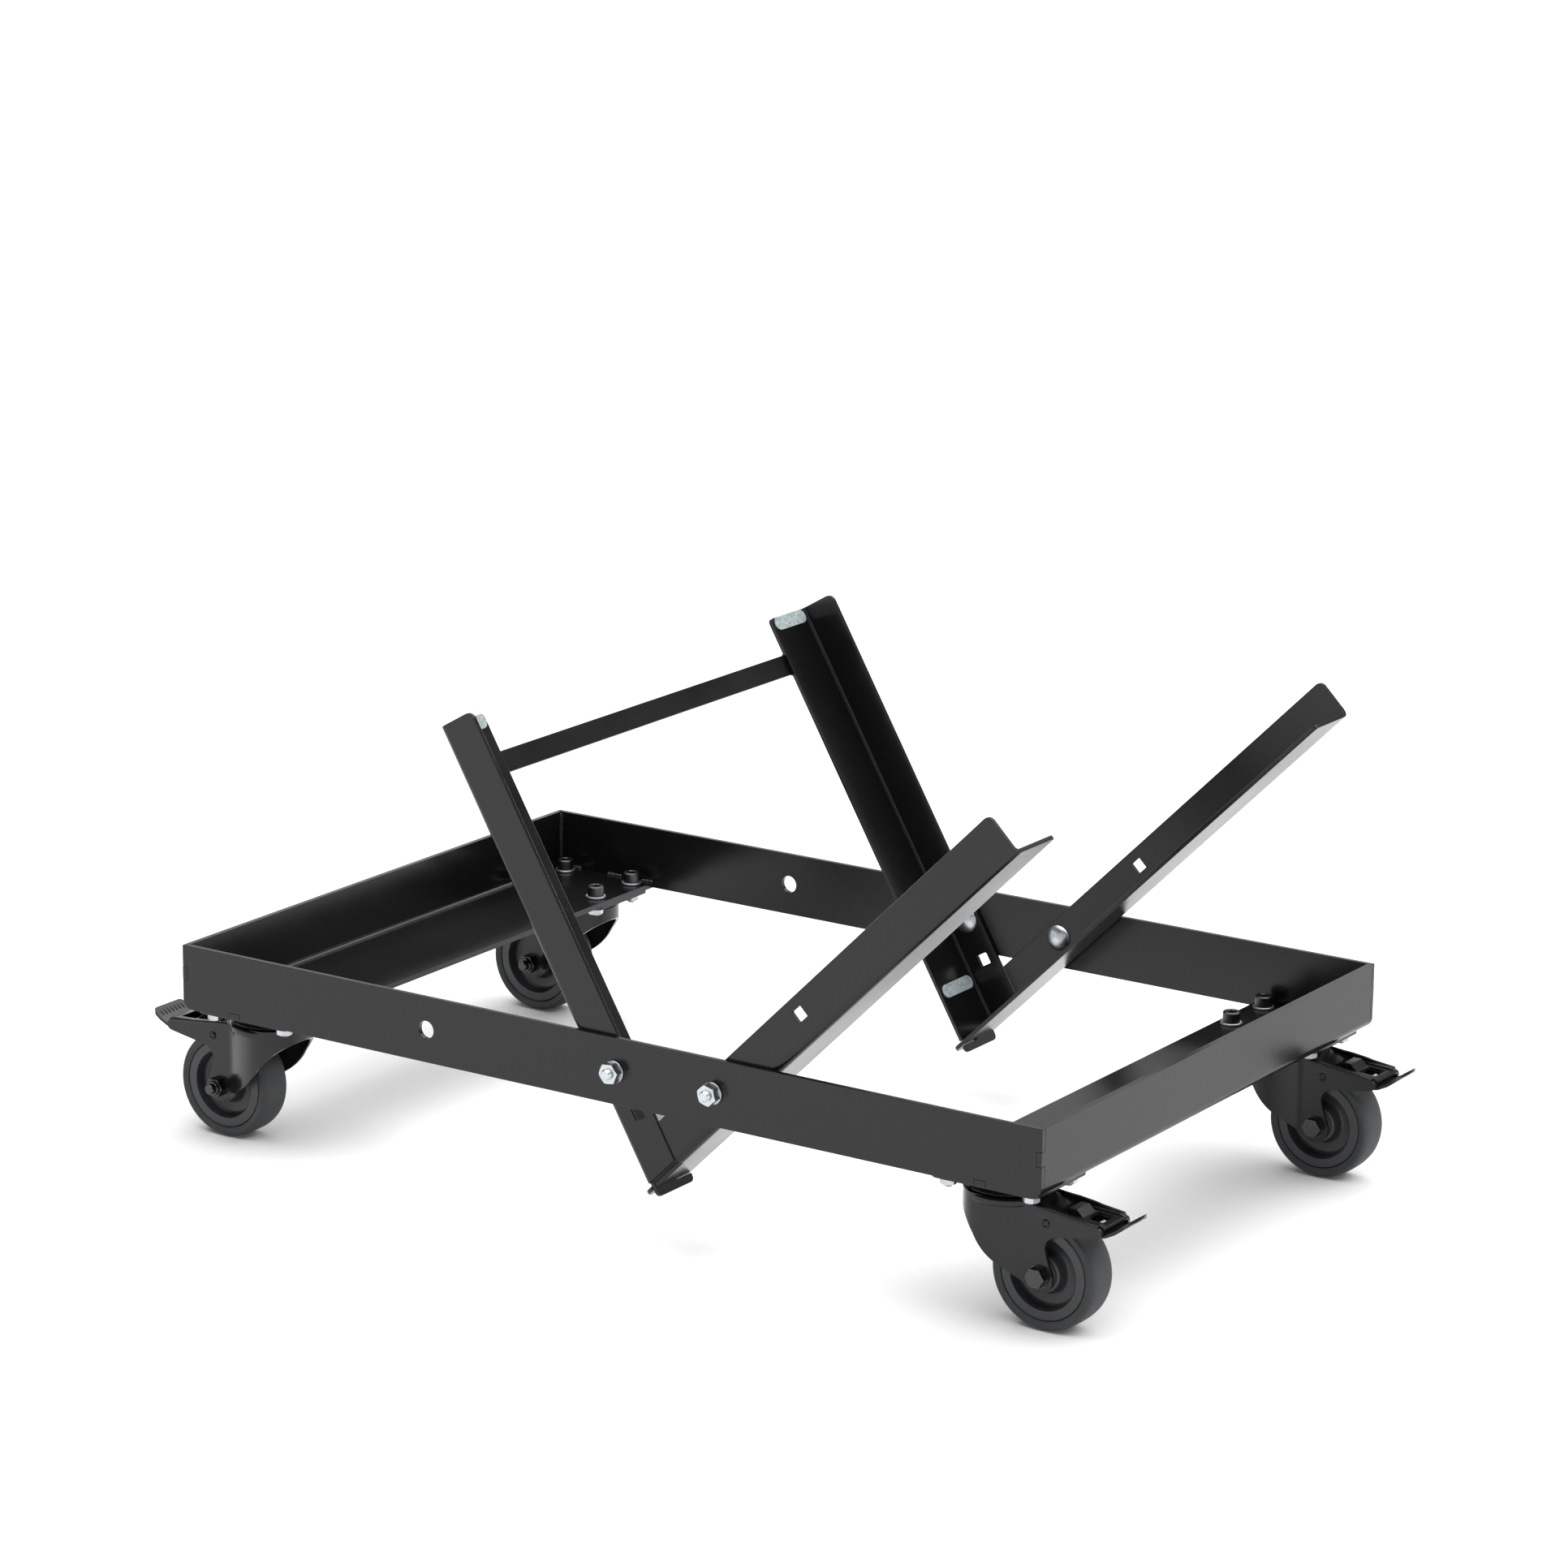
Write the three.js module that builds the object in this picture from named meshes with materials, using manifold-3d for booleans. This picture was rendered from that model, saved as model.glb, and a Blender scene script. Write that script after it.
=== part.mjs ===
// Rolling cart with two V cradles: a low steel frame on four braked swivel castors.
// Millimetres, +Z up. X runs along the frame, Y across it, and the floor is Z = 0.
// The origin is on the floor under the middle of the frame. The front is the -Y side.

import * as THREE from 'three';
import { mergeVertices } from 'three/addons/utils/BufferGeometryUtils.js';
import Module from 'manifold-3d';

const wasm = await Module();
wasm.setup();

// ---------------------------------------------------------------- driving dimensions

const GAP = 0.3;              // clearance between pieces that touch
const DEG = Math.PI / 180;

// Frame
const LENGTH = 906;           // along X, over the end angles
const WIDTH = 580;            // along Y, over the side plates
const PLATE_H = 60;           // height of the side plates and end angles
const PLATE_T = 5;            // their thickness
const BEND_R = 9;             // outer bend radius of the end angles
const FLANGE = 116;           // width of the end angles' bottom flange
const WEB_TAB = { down: 26, high: 12.5 };      // tab centre below the top edge, tab height
const FLANGE_TAB = { in: 59, wide: 11 };       // tab centre in from the end, tab width
const HOLE_DROP = 30;         // hole centres below the top edge of the side plates
const SPARE_HOLE_X = -177;    // the free hole of each side plate
const SPARE_HOLE_R = 8.25;

// Castors
const WHEEL_R = 50;
const CASTOR_H = 128;         // floor to the underside of the frame
const TRAIL = 44;             // swivel axis to axle
const CASTOR_X = 392;         // swivel axes
const CASTOR_Y = 240;
const SCREW_X = 80;           // screw pattern of the castor plates
const SCREW_Y = 60;
const TYRE_W = 35;
const FORK_IN = 40;           // between the fork's cheeks
const SHEET = 3;              // fork sheet
const HEAD_R = 38;            // round head of the fork
const PEDAL_PIVOT = { x: 50, z: 97.5 };

// Arms: L section, bent from sheet, bolted inside the side plates
const ARM_T = 4;
const ARM_SIDE = 40;          // leg against the side plate
const ARM_FACE = 60;          // leg that carries the load
const ARM_BEND = 7;           // outer bend radius
const HOLE_TO_BACK = 25;      // bolt holes, from the back of the load leg
const SQUARE = 11;            // square holes
const LAP = 38;               // where the two arms' half-lap slots meet, from the side plate
const BACK_ARM = { x: 26, angle: 59.4, up: 333, down: 114, second: 41 };
const SEAT_ARM = { x: 128, angle: 45, up: 388, down: 135, second: -118 };

// Crossbar and pads
const BAR = { from: 277, wide: 20, thick: 4, length: 510 };
const PAD = { wide: 13, long: 50, thick: 1.5, top: 326, low: -54 };

// ---------------------------------------------------------------- derived dimensions

const FRAME_BOTTOM = CASTOR_H;
const FRAME_TOP = CASTOR_H + PLATE_H;
const X_END = LENGTH / 2;
const Y_OUT = WIDTH / 2;
const Y_IN = Y_OUT - PLATE_T;
const HOLE_Z = FRAME_TOP - HOLE_DROP;
const FORK_OUT = FORK_IN / 2 + SHEET;
const M8 = { r: 4, hex: 7.5, nutHigh: 6.8 };
const M10 = { r: 5, hex: 9.8, washer: 10, head: 8, nutHigh: 8 };   // hex: across corners / 2

// ---------------------------------------------------------------- colours

const paint = { color: 0x1d1e1f, roughness: 0.42, metalness: 0.0 };
const zinc = { color: 0xc9ced2, roughness: 0.3, metalness: 1.0 };
const oxide = { color: 0x17181a, roughness: 0.4, metalness: 0.6 };
const enamel = { color: 0x121314, roughness: 0.25, metalness: 0.0 };
const tyreRubber = { color: 0x303234, roughness: 0.75, metalness: 0.0 };
const nylon = { color: 0x242628, roughness: 0.5, metalness: 0.0 };
const felt = { color: 0x8f9a9c, roughness: 0.95, metalness: 0.0 };

// ---------------------------------------------------------------- solid helpers

function toSolid(geometry) {
  const bare = geometry.index ? geometry.toNonIndexed() : geometry.clone();
  bare.deleteAttribute('normal');
  bare.deleteAttribute('uv');
  const merged = mergeVertices(bare, 1e-4);
  return new wasm.Manifold(new wasm.Mesh({
    numProp: 3,
    vertProperties: new Float32Array(merged.attributes.position.array),
    triVerts: new Uint32Array(merged.index.array),
  }));
}

function toGeometry(solid) {
  const { vertProperties, triVerts } = solid.getMesh();
  const geometry = new THREE.BufferGeometry();
  geometry.setAttribute('position', new THREE.BufferAttribute(vertProperties, 3));
  geometry.setIndex(new THREE.BufferAttribute(triVerts, 1));
  geometry.computeVertexNormals();
  return geometry;
}

function addPiece(parent, name, shape, finish) {
  const geometry = shape.isBufferGeometry ? shape : toGeometry(shape);
  const mesh = new THREE.Mesh(geometry, new THREE.MeshStandardMaterial(finish));
  mesh.name = name;
  parent.add(mesh);
  return mesh;
}

function outline(points) {
  return new THREE.Shape(points.map(([a, b]) => new THREE.Vector2(a, b)));
}

function extrude(shape, depth) {
  return new THREE.ExtrudeGeometry(shape, { depth, bevelEnabled: false, curveSegments: 4 });
}

// An outline in X and Y, standing from z to z + height.
function alongZ(shape, z, height) {
  return toSolid(extrude(shape, height).translate(0, 0, z));
}

// An outline in X and Z, reaching from y to y + depth.
function alongY(shape, y, depth) {
  return toSolid(extrude(shape, depth).rotateX(Math.PI / 2).translate(0, y + depth, 0));
}

// An outline in Y and Z, reaching from x to x + length.
function alongX(shape, x, length) {
  const turn = new THREE.Matrix4().set(0, 0, 1, x, 1, 0, 0, 0, 0, 1, 0, 0, 0, 0, 0, 1);
  return toSolid(extrude(shape, length).applyMatrix4(turn));
}

function box(x0, x1, y0, y1, z0, z1) {
  const geometry = new THREE.BoxGeometry(x1 - x0, y1 - y0, z1 - z0);
  return toSolid(geometry.translate((x0 + x1) / 2, (y0 + y1) / 2, (z0 + z1) / 2));
}

function disc(r, sides, turn = 0) {
  const points = [];
  for (let i = 0; i < sides; i += 1) {
    const angle = turn + (i * 2 * Math.PI) / sides;
    points.push([r * Math.cos(angle), r * Math.sin(angle)]);
  }
  return points;
}

function moved(points, dx, dy) {
  return points.map(([a, b]) => [a + dx, b + dy]);
}

// What a corner of radius r loses. The corner is at (x, y) and the piece lies along sx, sy.
function cornerWaste(x, y, sx, sy, r) {
  const points = [[x - sx, y - sy], [x + sx * r, y - sy], [x + sx * r, y]];
  for (let i = 1; i <= 4; i += 1) {
    const a = (i * Math.PI) / 8;
    points.push([x + sx * r * (1 - Math.sin(a)), y + sy * r * (1 - Math.cos(a))]);
  }
  points.push([x - sx, y + sy * r]);
  return outline(points);
}

const root = new THREE.Group();

// ---------------------------------------------------------------- side plates

function sidePlate() {
  const plate = new THREE.Shape();
  const r = BEND_R;
  plate.moveTo(-X_END, FRAME_TOP);
  plate.lineTo(-X_END, FRAME_BOTTOM + r);
  plate.absarc(-X_END + r, FRAME_BOTTOM + r, r, Math.PI, 1.5 * Math.PI);
  plate.lineTo(X_END - r, FRAME_BOTTOM);
  plate.absarc(X_END - r, FRAME_BOTTOM + r, r, 1.5 * Math.PI, 2 * Math.PI);
  plate.lineTo(X_END, FRAME_TOP);
  let solid = alongY(plate, 0, PLATE_T);

  // The notches at both ends and along the bottom take the end angles' tabs.
  const tabZ = FRAME_TOP - WEB_TAB.down;
  const halfTab = WEB_TAB.high / 2 + GAP;
  for (const side of [-1, 1]) {
    const xs = [side * (X_END - PLATE_T - GAP), side * (X_END + 1)].sort((a, b) => a - b);
    solid = solid.subtract(box(xs[0], xs[1], -1, PLATE_T + 1, tabZ - halfTab, tabZ + halfTab));
    const x = side * (X_END - FLANGE_TAB.in);
    const half = FLANGE_TAB.wide / 2 + GAP;
    const top = FRAME_BOTTOM + PLATE_T + GAP;
    solid = solid.subtract(box(x - half, x + half, -1, PLATE_T + 1, FRAME_BOTTOM - 1, top));
  }

  const holes = [[SPARE_HOLE_X, SPARE_HOLE_R], [BACK_ARM.x, 5.5], [SEAT_ARM.x, 5.5]];
  for (const [x, r2] of holes) {
    solid = solid.subtract(alongY(outline(moved(disc(r2, 16), x, HOLE_Z)), -1, PLATE_T + 2));
  }
  return solid;
}

const plateSolid = sidePlate();
addPiece(root, 'side_plate_front', plateSolid, paint).position.y = -Y_OUT;
addPiece(root, 'side_plate_rear', plateSolid, paint).position.y = Y_IN;

// ---------------------------------------------------------------- end angles

// side is -1 for the left end and 1 for the right end.
function endAngle(side) {
  const long = Y_IN - GAP;
  const inner = BEND_R - PLATE_T;
  const section = new THREE.Shape();
  section.moveTo(X_END, FRAME_TOP);
  section.lineTo(X_END - PLATE_T, FRAME_TOP);
  section.lineTo(X_END - PLATE_T, FRAME_BOTTOM + BEND_R);
  section.absarc(X_END - BEND_R, FRAME_BOTTOM + BEND_R, inner, 0, -Math.PI / 2, true);
  section.lineTo(X_END - FLANGE, FRAME_BOTTOM + PLATE_T);
  section.lineTo(X_END - FLANGE, FRAME_BOTTOM);
  section.lineTo(X_END - BEND_R, FRAME_BOTTOM);
  section.absarc(X_END - BEND_R, FRAME_BOTTOM + BEND_R, BEND_R, -Math.PI / 2, 0);
  let solid = alongY(section, -long, 2 * long);

  const tabZ = FRAME_TOP - WEB_TAB.down;
  const tabX = X_END - FLANGE_TAB.in;
  for (const end of [-1, 1]) {
    const y0 = end < 0 ? -Y_OUT : long - 1;
    const y1 = end < 0 ? -long + 1 : Y_OUT;
    const webTab = box(X_END - PLATE_T, X_END, y0, y1,
      tabZ - WEB_TAB.high / 2, tabZ + WEB_TAB.high / 2);
    const flangeTab = box(tabX - FLANGE_TAB.wide / 2, tabX + FLANGE_TAB.wide / 2, y0, y1,
      FRAME_BOTTOM, FRAME_BOTTOM + PLATE_T);
    solid = solid.add(webTab).add(flangeTab);
    for (const dx of [-1, 1]) {
      for (const dy of [-1, 1]) {
        const x = CASTOR_X + (dx * SCREW_X) / 2;
        const y = end * CASTOR_Y + (dy * SCREW_Y) / 2;
        const hole = outline(moved(disc(5.8, 8, Math.PI / 8), x, y));
        solid = solid.subtract(alongZ(hole, FRAME_BOTTOM - 1, PLATE_T + 2));
      }
    }
  }
  return side > 0 ? solid : solid.rotate([0, 0, 180]);
}

addPiece(root, 'end_angle_left', endAngle(-1), paint);
addPiece(root, 'end_angle_right', endAngle(1), paint);

// ---------------------------------------------------------------- arms of the V cradles

// An arm's own frame: its bolt hole is the origin, Z points out of the back of the V,
// Y goes in from the side plate, and X runs along the arm. The back arm's X points up
// and the seat arm's X points down.

const backTurn = Math.PI + BACK_ARM.angle * DEG;
const seatTurn = Math.PI - SEAT_ARM.angle * DEG;

// A point given along and behind one arm, in the other arm's own X and Z.
function across(along, behind, from, fromTurn, to, toTurn) {
  const x = from.x + along * Math.cos(fromTurn) + behind * Math.sin(fromTurn) - to.x;
  const z = -along * Math.sin(fromTurn) + behind * Math.cos(fromTurn);
  const c = Math.cos(toTurn);
  const s = Math.sin(toTurn);
  return [x * c - z * s, x * s + z * c];
}

// A band that runs along the other arm, between two distances from its hole line.
function band(low, high, from, fromTurn, to, toTurn) {
  const reach = 700;
  const corners = [[-reach, low], [reach, low], [reach, high], [-reach, high]];
  return outline(corners.map(([a, b]) => across(a, b, from, fromTurn, to, toTurn)));
}

// side is 1 for a front arm, whose load leg reaches to +Y, and -1 for a rear arm.
function angleArm(x0, x1, squares, side) {
  const back = HOLE_TO_BACK;
  const free = HOLE_TO_BACK - ARM_SIDE;
  const centre = back - ARM_BEND;
  const section = [[ARM_FACE, back - ARM_T], [ARM_FACE, back]];
  for (let i = 0; i <= 4; i += 1) {
    const a = Math.PI / 2 + (i * Math.PI) / 8;
    section.push([ARM_BEND * (1 + Math.cos(a)), centre + ARM_BEND * Math.sin(a)]);
  }
  section.push([0, free], [ARM_T, free]);
  for (let i = 4; i >= 0; i -= 1) {
    const a = Math.PI / 2 + (i * Math.PI) / 8;
    const r = ARM_BEND - ARM_T;
    section.push([ARM_BEND + r * Math.cos(a), centre + r * Math.sin(a)]);
  }
  let solid = alongX(outline(section.map(([y, z]) => [side * y, z])), x0, x1 - x0);
  for (const x of squares) {
    const hole = moved(disc(SQUARE / Math.SQRT2, 4, Math.PI / 4), x, 0);
    solid = solid.subtract(alongY(outline(hole), -ARM_T - 1, 2 * ARM_T + 2));
  }
  return solid;
}

// Cuts a prism out of the arm between two distances from the side plate.
function cutBetween(solid, shape, near, far, side) {
  const y = side > 0 ? near : -far;
  return solid.subtract(alongY(shape, y, far - near));
}

function backArm(side) {
  const { up, down, second } = BACK_ARM;
  let solid = angleArm(-down, up, [0, -second], side);
  const free = HOLE_TO_BACK - ARM_SIDE;
  const seat = (low, high) => band(low, high, SEAT_ARM, seatTurn, BACK_ARM, backTurn);
  // The side leg stops above the seat arm; the load leg is slotted from its free edge.
  solid = cutBetween(solid, seat(HOLE_TO_BACK - ARM_T - 2, 90), -1, ARM_BEND, side);
  solid = cutBetween(solid, seat(HOLE_TO_BACK - ARM_T - 0.5, HOLE_TO_BACK + 0.5),
    LAP - GAP, ARM_FACE + 1, side);
  solid = solid.subtract(alongY(cornerWaste(up, free, -1, 1, 7), -5, 10));
  for (const [x, sx] of [[up, -1], [-down, 1]]) {
    const corner = cornerWaste(x, side * ARM_FACE, sx, -side, 5);
    solid = solid.subtract(alongZ(corner, 0, 40));
  }
  const lowCorner = cornerWaste(-down, side * ARM_BEND, 1, side, 5);
  return solid.subtract(alongZ(lowCorner, 0, 40));
}

function seatArm(side) {
  const { up, down, second } = SEAT_ARM;
  let solid = angleArm(-up, down, [0, second], side);
  const free = HOLE_TO_BACK - ARM_SIDE;
  const rest = (low, high) => band(low, high, BACK_ARM, backTurn, SEAT_ARM, seatTurn);
  // The side leg starts beside the back arm's; the load leg is slotted from the plate side.
  solid = cutBetween(solid, rest(free - 2, 200), -1, ARM_BEND, side);
  solid = cutBetween(solid, rest(HOLE_TO_BACK - ARM_T - 0.5, HOLE_TO_BACK + 0.5),
    -1, LAP + GAP, side);
  solid = solid.subtract(alongY(cornerWaste(-up, free, 1, 1, 6), -5, 10));
  solid = solid.subtract(alongZ(cornerWaste(-up, side * ARM_FACE, 1, -side, 3), 0, 40));
  solid = solid.subtract(alongZ(cornerWaste(down, side * ARM_FACE, -1, -side, 10), 0, 40));
  return solid.subtract(alongZ(cornerWaste(down, side * ARM_BEND, -1, side, 10), 0, 40));
}

function armGroup(arm, turn, side) {
  const group = new THREE.Group();
  group.position.set(arm.x, -side * (Y_IN - GAP), HOLE_Z);
  group.rotation.y = turn;
  root.add(group);
  return group;
}

// ---------------------------------------------------------------- pads and arm bolts

// A thin round-ended strip across the load leg, on its V face.
function pad(x, side) {
  const r = PAD.wide / 2;
  const first = ARM_FACE / 2 + 2.5 - PAD.long / 2 + r;
  const last = first + PAD.long - 2 * r;
  const strip = new THREE.Shape();
  strip.absarc(x, last, r, 0, Math.PI);
  strip.absarc(x, first, r, Math.PI, 2 * Math.PI);
  const top = HOLE_TO_BACK - ARM_T - GAP;
  const solid = alongZ(strip, top - PAD.thick, PAD.thick);
  return side > 0 ? solid : solid.mirror([0, 1, 0]);
}

// A round-head square-neck bolt with its washer and nut, about the Y axis.
// Y = 0 is the outer face of the side plate, and the head is inside, towards +Y.
function armBolt() {
  const leg = PLATE_T + GAP + ARM_T + GAP;
  const profile = [
    [0, -14.5], [4.4, -14.5], [M10.r, -13.5], [M10.r, -2 - GAP], [M10.washer, -2 - GAP],
    [M10.washer, -GAP], [M10.r, -GAP], [M10.r, leg], [12.3, leg], [10.8, leg + 2.4],
    [6.5, leg + 4.6], [0, leg + 5.3],
  ].map(([r, y]) => new THREE.Vector2(r, y));
  let solid = toSolid(new THREE.LatheGeometry(profile, 16));
  const nut = outline(disc(M10.hex, 6));
  solid = solid.add(alongY(nut, -2 - GAP - M10.nutHigh, M10.nutHigh + 0.1));
  return solid.add(box(-5, 5, PLATE_T + GAP, leg + 0.5, -5, 5));
}

const boltSolid = armBolt();
for (const [side, place] of [[1, 'front'], [-1, 'rear']]) {
  const back = armGroup(BACK_ARM, backTurn, side);
  addPiece(back, `back_arm_${place}`, backArm(side), paint);
  addPiece(back, `pad_top_${place}`, pad(PAD.top, side), felt);
  addPiece(back, `pad_low_${place}`, pad(PAD.low, side), felt);
  const seat = armGroup(SEAT_ARM, seatTurn, side);
  addPiece(seat, `seat_arm_${place}`, seatArm(side), paint);

  for (const [kind, arm, turn] of [['back', BACK_ARM, backTurn], ['seat', SEAT_ARM, seatTurn]]) {
    const bolt = addPiece(root, `${kind}_arm_bolt_${place}`, boltSolid, zinc);
    bolt.position.set(arm.x, -side * Y_OUT, HOLE_Z);
    bolt.rotation.set(0, turn, side > 0 ? 0 : Math.PI);
  }
}

// ---------------------------------------------------------------- crossbar

// A flat bar behind the two back arms, near their tops.
const barGroup = armGroup(BACK_ARM, backTurn, 0);
const barBack = HOLE_TO_BACK + GAP;
addPiece(barGroup, 'crossbar', box(BAR.from, BAR.from + BAR.wide,
  -BAR.length / 2, BAR.length / 2, barBack, barBack + BAR.thick), paint);

// ---------------------------------------------------------------- castor pieces

// A castor's own frame: Z is its swivel axis, the floor is Z = 0 and the wheel trails to +X.

const PLATE_TOP = CASTOR_H - GAP;
const PLATE_LOW = PLATE_TOP - 4;
const HEAD_TOP = 115.3;

// Mounting plate with the upper ball race, and the king pin riveted through it.
function castorPlate() {
  const plate = new THREE.Shape();
  const [a, b, r] = [52.5, 42.5, 8];
  plate.absarc(a - r, b - r, r, 0, Math.PI / 2);
  plate.absarc(-a + r, b - r, r, Math.PI / 2, Math.PI);
  plate.absarc(-a + r, -b + r, r, Math.PI, 1.5 * Math.PI);
  plate.absarc(a - r, -b + r, r, 1.5 * Math.PI, 2 * Math.PI);
  let solid = alongZ(plate, PLATE_LOW, 4);
  for (const dx of [-1, 1]) {
    for (const dy of [-1, 1]) {
      const x = (dx * SCREW_X) / 2;
      const y = (dy * SCREW_Y) / 2;
      const hole = outline(moved(disc(5.8, 8, Math.PI / 8), x, y));
      solid = solid.subtract(alongZ(hole, PLATE_LOW - 1, 6));
    }
  }
  const race = [
    [0, 106], [10, 106], [12, 108], [12, HEAD_TOP - SHEET - 0.6], [7, HEAD_TOP - SHEET - 0.6],
    [7, HEAD_TOP + 0.6], [32, HEAD_TOP + 0.6], [34, HEAD_TOP + 2], [28, PLATE_LOW + 0.1],
    [0, PLATE_LOW + 0.1],
  ].map(([x, z]) => new THREE.Vector2(x, z));
  const turned = new THREE.LatheGeometry(race, 16).rotateX(Math.PI / 2);
  return solid.add(toSolid(turned));
}

// Plan outline of the fork, inset by d: a round head that narrows to two straight cheeks.
function forkPlan(d, rear) {
  const r = HEAD_R - d;
  const half = FORK_OUT - d;
  const turn = Math.atan2(34, -17);
  const points = [[28, half], [rear, half], [rear, -half], [28, -half]];
  for (let i = 0; i <= 8; i += 1) {
    const a = -turn - (i * 2 * (Math.PI - turn)) / 8;
    points.push([r * Math.cos(a), r * Math.sin(a)]);
  }
  return outline(points);
}

// Side outline of the fork's cheeks, in X and Z.
function forkSide() {
  const side = new THREE.Shape();
  side.moveTo(-HEAD_R - 1, HEAD_TOP + 1);
  side.lineTo(24, HEAD_TOP + 1);
  side.lineTo(33, 112);
  side.lineTo(56, 110.5);
  side.lineTo(70, 108.8);
  side.lineTo(98, 103.5);
  side.quadraticCurveTo(103.8, 102.5, 103.8, 99);
  side.quadraticCurveTo(103.8, 95, 98, 93.6);
  side.lineTo(66, 88.3);
  side.quadraticCurveTo(50.5, 87, 49.6, 76);
  side.lineTo(51.3, 66);
  side.lineTo(57.6, 51.5);
  side.absarc(TRAIL, 49.3, 13.8, 0.16, -130 * DEG, true);
  side.lineTo(5.6, 59);
  side.quadraticCurveTo(-5, 67, -12.6, 80);
  side.lineTo(-21, 89);
  side.quadraticCurveTo(-30, 99, -HEAD_R - 1, 104);
  return side;
}

// Pressed fork: round head, sloping web behind it, and two cheeks.
function fork() {
  const outer = alongZ(forkPlan(0, 110), 30, HEAD_TOP - 30);
  const top = HEAD_TOP - SHEET;
  const web = outline([
    [-60, top], [22, top], [33, 108.4], [54.5, 103], [54.5, 106], [35, 111.3],
    [24, HEAD_TOP], [-60, HEAD_TOP + 3],
  ]);
  const hollow = alongZ(forkPlan(SHEET, 120), 20, 110).subtract(alongY(web, -60, 120));
  let solid = outer.intersect(alongY(forkSide(), -60, 120));
  // The head's round rim stands out over the cheeks.
  solid = solid.add(alongZ(outline(disc(HEAD_R, 24)), 106, HEAD_TOP - 106));
  const rimHollow = alongZ(outline(disc(HEAD_R - SHEET, 24)), 109, top - 109);
  const forward = rimHollow.intersect(box(-50, 31, -50, 50, 90, 120));
  solid = solid.subtract(hollow).subtract(forward);
  solid = solid.subtract(alongZ(outline(disc(7.8, 12)), 100, 20));
  const axleHole = outline(moved(disc(5.5, 12), TRAIL, WHEEL_R));
  const pinHole = outline(moved(disc(3.4, 12), PEDAL_PIVOT.x, PEDAL_PIVOT.z));
  return solid.subtract(alongY(axleHole, -30, 60)).subtract(alongY(pinHole, -30, 60));
}

// Brake pedal: lever plate between the cheeks, with ears, rivet pins, shoe and tongue.
function pedal() {
  const half = FORK_IN / 2 - 0.6;
  const plate = outline([
    [61.2, 103.2], [61.2, 105.8], [99, 104], [103.2, 103.2], [104.4, 101.8], [103.4, 100.2],
    [98, 101],
  ]);
  let solid = alongY(plate, -half, 2 * half);
  solid = solid.subtract(box(80, 97, -10, 10, 90, 110));
  const block = outline([[62, 104], [62.6, 109], [64.5, 110.6], [72, 110.6], [79, 104]]);
  solid = solid.add(alongY(block, -10, 20));
  const shoe = outline([[62, 99.6], [70, 97.6], [72, 104], [62, 104]]);
  solid = solid.add(alongY(shoe, -10, 20));
  const bridge = outline([[97.5, 94], [101, 94.8], [101, 102], [97.5, 102]]);
  solid = solid.add(alongY(bridge, -half, 2 * half));

  const tongue = outline([
    [92, 92], [104, 94.6], [114, 99.6], [120, 104], [124, 107.6], [122.2, 109.6],
    [118, 106], [112.5, 102], [103, 97.2], [92, 94.6],
  ]);
  const plan = outline([
    [91, half], [105, half], [106, 20.5], [119.5, 20.5], [121.5, 19], [123.4, 11], [124, 0],
    [123.4, -11], [121.5, -19], [119.5, -20.5], [106, -20.5], [105, -half], [91, -half],
  ]);
  solid = solid.add(alongY(tongue, -30, 60).intersect(alongZ(plan, 80, 40)));

  const { x, z } = PEDAL_PIVOT;
  const ear = outline([
    [x - 5, z - 3], [x, z - 5.5], [x + 6, z - 3], [70, 100.4], [70, 104.4],
    [61.5, 104.6], [x + 7, z + 4.4], [x + 2, z + 4.4], [x - 4, z + 3.5],
  ]);
  for (const side of [-1, 1]) {
    const y = side > 0 ? 18.2 : -half;
    solid = solid.add(alongY(ear, y, half - 18.2));
    const pin = alongY(outline(moved(disc(3, 12), x, z)), side > 0 ? 18.5 : -24, 5.5);
    const head = alongY(outline(moved(disc(4.6, 12), x, z)), side > 0 ? 23.3 : -24.6, 1.3);
    solid = solid.add(pin).add(head);
  }
  return solid;
}

// A turned ring about the axle, closed on itself, with a flat side of it on the floor.
function ring(profile, sides) {
  const grow = 1 / Math.cos(Math.PI / sides);
  const points = [...profile, profile[0]].map(([r, y]) => new THREE.Vector2(r * grow, y));
  return new THREE.LatheGeometry(points, sides, Math.PI / sides);
}

function tyre() {
  const w = TYRE_W / 2;
  return ring([
    [40.3, -w + 1.5], [46, -w], [49, -w + 3.5], [WHEEL_R, -w + 9],
    [WHEEL_R, w - 9], [49, w - 3.5], [46, w], [40.3, w - 1.5],
  ], 32);
}

function rim() {
  return ring([
    [5.6, -18.8], [10.5, -18.8], [15, -13], [17, -5], [29, -5], [32.5, -15], [39.5, -15],
    [39.5, 15], [32.5, 15], [29, 5], [17, 5], [15, 13], [10.5, 18.8], [5.6, 18.8],
  ], 24);
}

// Axle bolt through the cheeks, its head towards -Y and a locking nut towards +Y.
function axle() {
  const out = FORK_OUT + GAP;
  const profile = [
    [0, -out - 1], [M10.r, -out - 1], [M10.r, out + 13], [4, out + 14], [0, out + 14],
  ].map(([r, y]) => new THREE.Vector2(r, y));
  const hex = outline(disc(M10.hex, 6));
  const shank = toSolid(new THREE.LatheGeometry(profile, 16));
  return shank.add(alongY(hex, -out - 6.5, 6.5)).add(alongY(hex, out, 10));
}

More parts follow.
